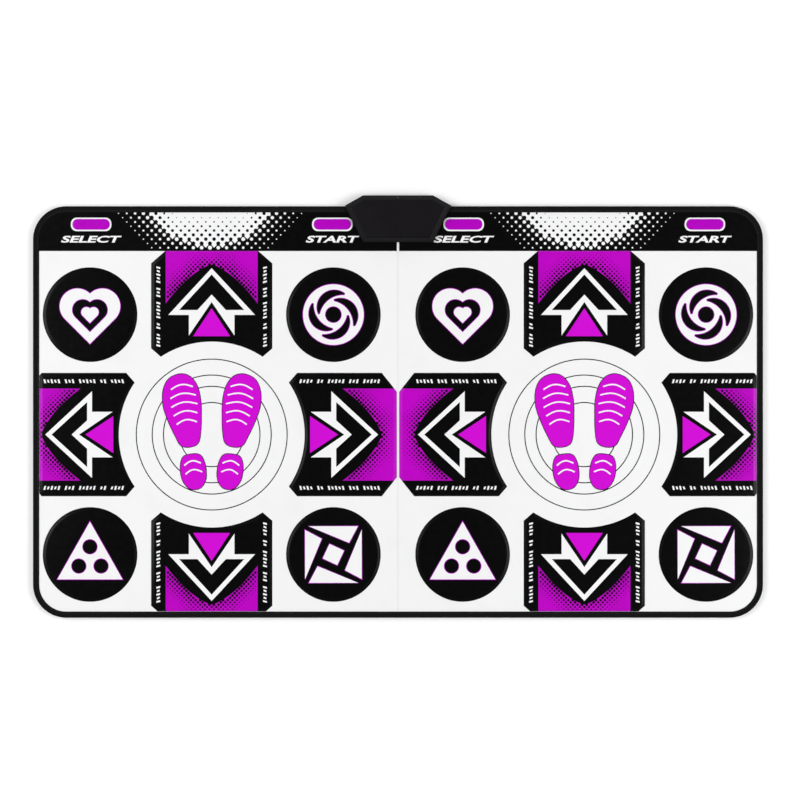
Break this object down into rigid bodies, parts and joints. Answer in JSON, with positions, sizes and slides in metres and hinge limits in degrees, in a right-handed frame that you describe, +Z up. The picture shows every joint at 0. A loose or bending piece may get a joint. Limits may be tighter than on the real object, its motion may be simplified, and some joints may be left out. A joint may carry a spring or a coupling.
{
  "type": "dance mat controller",
  "caption": "Flat padded double dance mat with press-down arrow and disc pads, a bound edge, and a low control box with a lead socket on the rear edge.",
  "frame": {"origin": "on the floor, under the middle of the whole outline of mat and control box", "axes": "+X along the mat to the right player's half, +Y to the edge with the control box, +Z up"},
  "size_m": [1.65, 0.954, 0.029],
  "materials": {
    "cover_print": "satin printed vinyl",
    "arrow_print": "satin printed vinyl",
    "disc_print": "satin printed vinyl",
    "button_print": "satin printed vinyl",
    "binding": "woven polyester tape",
    "base_sheet": "dotted anti-slip cloth",
    "foam": "closed-cell foam",
    "film": "printed contact film",
    "box_plastic": "fine moulded grain",
    "board": "solder mask",
    "chip": "moulded",
    "steel": "plated",
    "lamp": "clear",
    "clear_plastic": "clear",
    "clamp_plastic": "moulded"
  },
  "bodies": {
    "mat": {"base_sheet": "base_sheet", "base_foam": "foam", "top_cover": "cover_print", "edge_binding": "binding", "left_lower_film": "film", "right_lower_film": "film", "left_upper_film": "film", "right_upper_film": "film", "left_spacer_foam": "foam", "right_spacer_foam": "foam", "box_lower_shell": "box_plastic", "box_upper_shell": "box_plastic", "circuit_board": "board", "controller_chip": "chip", "clock_crystal": "steel", "supply_capacitor": "chip", "status_lamp": "lamp", "light_guide": "clear_plastic", "lead_socket": "steel", "contact_block": "clamp_plastic", "tail_clamp_bar": "clamp_plastic", "left_clamp_screw": "steel", "right_clamp_screw": "steel", "rear_left_box_screw": "steel", "rear_right_box_screw": "steel", "front_left_box_screw": "steel", "front_right_box_screw": "steel"},
    "left_up_arrow_pad": {"left_up_arrow_pad": "arrow_print"},
    "left_down_arrow_pad": {"left_down_arrow_pad": "arrow_print"},
    "left_left_arrow_pad": {"left_left_arrow_pad": "arrow_print"},
    "left_right_arrow_pad": {"left_right_arrow_pad": "arrow_print"},
    "left_rear_left_disc_pad": {"left_rear_left_disc_pad": "disc_print"},
    "left_rear_right_disc_pad": {"left_rear_right_disc_pad": "disc_print"},
    "left_front_left_disc_pad": {"left_front_left_disc_pad": "disc_print"},
    "left_front_right_disc_pad": {"left_front_right_disc_pad": "disc_print"},
    "left_select_button": {"left_select_button": "button_print"},
    "left_start_button": {"left_start_button": "button_print"},
    "right_up_arrow_pad": {"right_up_arrow_pad": "arrow_print"},
    "right_down_arrow_pad": {"right_down_arrow_pad": "arrow_print"},
    "right_left_arrow_pad": {"right_left_arrow_pad": "arrow_print"},
    "right_right_arrow_pad": {"right_right_arrow_pad": "arrow_print"},
    "right_rear_left_disc_pad": {"right_rear_left_disc_pad": "disc_print"},
    "right_rear_right_disc_pad": {"right_rear_right_disc_pad": "disc_print"},
    "right_front_left_disc_pad": {"right_front_left_disc_pad": "disc_print"},
    "right_front_right_disc_pad": {"right_front_right_disc_pad": "disc_print"},
    "right_select_button": {"right_select_button": "button_print"},
    "right_start_button": {"right_start_button": "button_print"}
  },
  "joints": [
    {"name": "left_up_arrow_press", "type": "slide", "parent": "mat", "child": "left_up_arrow_pad", "axis": [0, 0, -1], "range_m": [0, 0.002], "stiffness_N_per_m": 6000, "springref_m": -0.0004, "deforming": ["left_spacer_foam", "left_upper_film"]},
    {"name": "left_down_arrow_press", "type": "slide", "parent": "mat", "child": "left_down_arrow_pad", "axis": [0, 0, -1], "range_m": [0, 0.002], "stiffness_N_per_m": 6000, "springref_m": -0.0004, "deforming": ["left_spacer_foam", "left_upper_film"]},
    {"name": "left_left_arrow_press", "type": "slide", "parent": "mat", "child": "left_left_arrow_pad", "axis": [0, 0, -1], "range_m": [0, 0.002], "stiffness_N_per_m": 6000, "springref_m": -0.0004, "deforming": ["left_spacer_foam", "left_upper_film"]},
    {"name": "left_right_arrow_press", "type": "slide", "parent": "mat", "child": "left_right_arrow_pad", "axis": [0, 0, -1], "range_m": [0, 0.002], "stiffness_N_per_m": 6000, "springref_m": -0.0004, "deforming": ["left_spacer_foam", "left_upper_film"]},
    {"name": "left_rear_left_disc_press", "type": "slide", "parent": "mat", "child": "left_rear_left_disc_pad", "axis": [0, 0, -1], "range_m": [0, 0.002], "stiffness_N_per_m": 6000, "springref_m": -0.0004, "deforming": ["left_spacer_foam", "left_upper_film"]},
    {"name": "left_rear_right_disc_press", "type": "slide", "parent": "mat", "child": "left_rear_right_disc_pad", "axis": [0, 0, -1], "range_m": [0, 0.002], "stiffness_N_per_m": 6000, "springref_m": -0.0004, "deforming": ["left_spacer_foam", "left_upper_film"]},
    {"name": "left_front_left_disc_press", "type": "slide", "parent": "mat", "child": "left_front_left_disc_pad", "axis": [0, 0, -1], "range_m": [0, 0.002], "stiffness_N_per_m": 6000, "springref_m": -0.0004, "deforming": ["left_spacer_foam", "left_upper_film"]},
    {"name": "left_front_right_disc_press", "type": "slide", "parent": "mat", "child": "left_front_right_disc_pad", "axis": [0, 0, -1], "range_m": [0, 0.002], "stiffness_N_per_m": 6000, "springref_m": -0.0004, "deforming": ["left_spacer_foam", "left_upper_film"]},
    {"name": "left_select_press", "type": "slide", "parent": "mat", "child": "left_select_button", "axis": [0, 0, -1], "range_m": [0, 0.002], "stiffness_N_per_m": 6000, "springref_m": -0.0004, "deforming": ["left_spacer_foam", "left_upper_film"]},
    {"name": "left_start_press", "type": "slide", "parent": "mat", "child": "left_start_button", "axis": [0, 0, -1], "range_m": [0, 0.002], "stiffness_N_per_m": 6000, "springref_m": -0.0004, "deforming": ["left_spacer_foam", "left_upper_film"]},
    {"name": "right_up_arrow_press", "type": "slide", "parent": "mat", "child": "right_up_arrow_pad", "axis": [0, 0, -1], "range_m": [0, 0.002], "stiffness_N_per_m": 6000, "springref_m": -0.0004, "deforming": ["right_spacer_foam", "right_upper_film"]},
    {"name": "right_down_arrow_press", "type": "slide", "parent": "mat", "child": "right_down_arrow_pad", "axis": [0, 0, -1], "range_m": [0, 0.002], "stiffness_N_per_m": 6000, "springref_m": -0.0004, "deforming": ["right_spacer_foam", "right_upper_film"]},
    {"name": "right_left_arrow_press", "type": "slide", "parent": "mat", "child": "right_left_arrow_pad", "axis": [0, 0, -1], "range_m": [0, 0.002], "stiffness_N_per_m": 6000, "springref_m": -0.0004, "deforming": ["right_spacer_foam", "right_upper_film"]},
    {"name": "right_right_arrow_press", "type": "slide", "parent": "mat", "child": "right_right_arrow_pad", "axis": [0, 0, -1], "range_m": [0, 0.002], "stiffness_N_per_m": 6000, "springref_m": -0.0004, "deforming": ["right_spacer_foam", "right_upper_film"]},
    {"name": "right_rear_left_disc_press", "type": "slide", "parent": "mat", "child": "right_rear_left_disc_pad", "axis": [0, 0, -1], "range_m": [0, 0.002], "stiffness_N_per_m": 6000, "springref_m": -0.0004, "deforming": ["right_spacer_foam", "right_upper_film"]},
    {"name": "right_rear_right_disc_press", "type": "slide", "parent": "mat", "child": "right_rear_right_disc_pad", "axis": [0, 0, -1], "range_m": [0, 0.002], "stiffness_N_per_m": 6000, "springref_m": -0.0004, "deforming": ["right_spacer_foam", "right_upper_film"]},
    {"name": "right_front_left_disc_press", "type": "slide", "parent": "mat", "child": "right_front_left_disc_pad", "axis": [0, 0, -1], "range_m": [0, 0.002], "stiffness_N_per_m": 6000, "springref_m": -0.0004, "deforming": ["right_spacer_foam", "right_upper_film"]},
    {"name": "right_front_right_disc_press", "type": "slide", "parent": "mat", "child": "right_front_right_disc_pad", "axis": [0, 0, -1], "range_m": [0, 0.002], "stiffness_N_per_m": 6000, "springref_m": -0.0004, "deforming": ["right_spacer_foam", "right_upper_film"]},
    {"name": "right_select_press", "type": "slide", "parent": "mat", "child": "right_select_button", "axis": [0, 0, -1], "range_m": [0, 0.002], "stiffness_N_per_m": 6000, "springref_m": -0.0004, "deforming": ["right_spacer_foam", "right_upper_film"]},
    {"name": "right_start_press", "type": "slide", "parent": "mat", "child": "right_start_button", "axis": [0, 0, -1], "range_m": [0, 0.002], "stiffness_N_per_m": 6000, "springref_m": -0.0004, "deforming": ["right_spacer_foam", "right_upper_film"]}
  ]
}
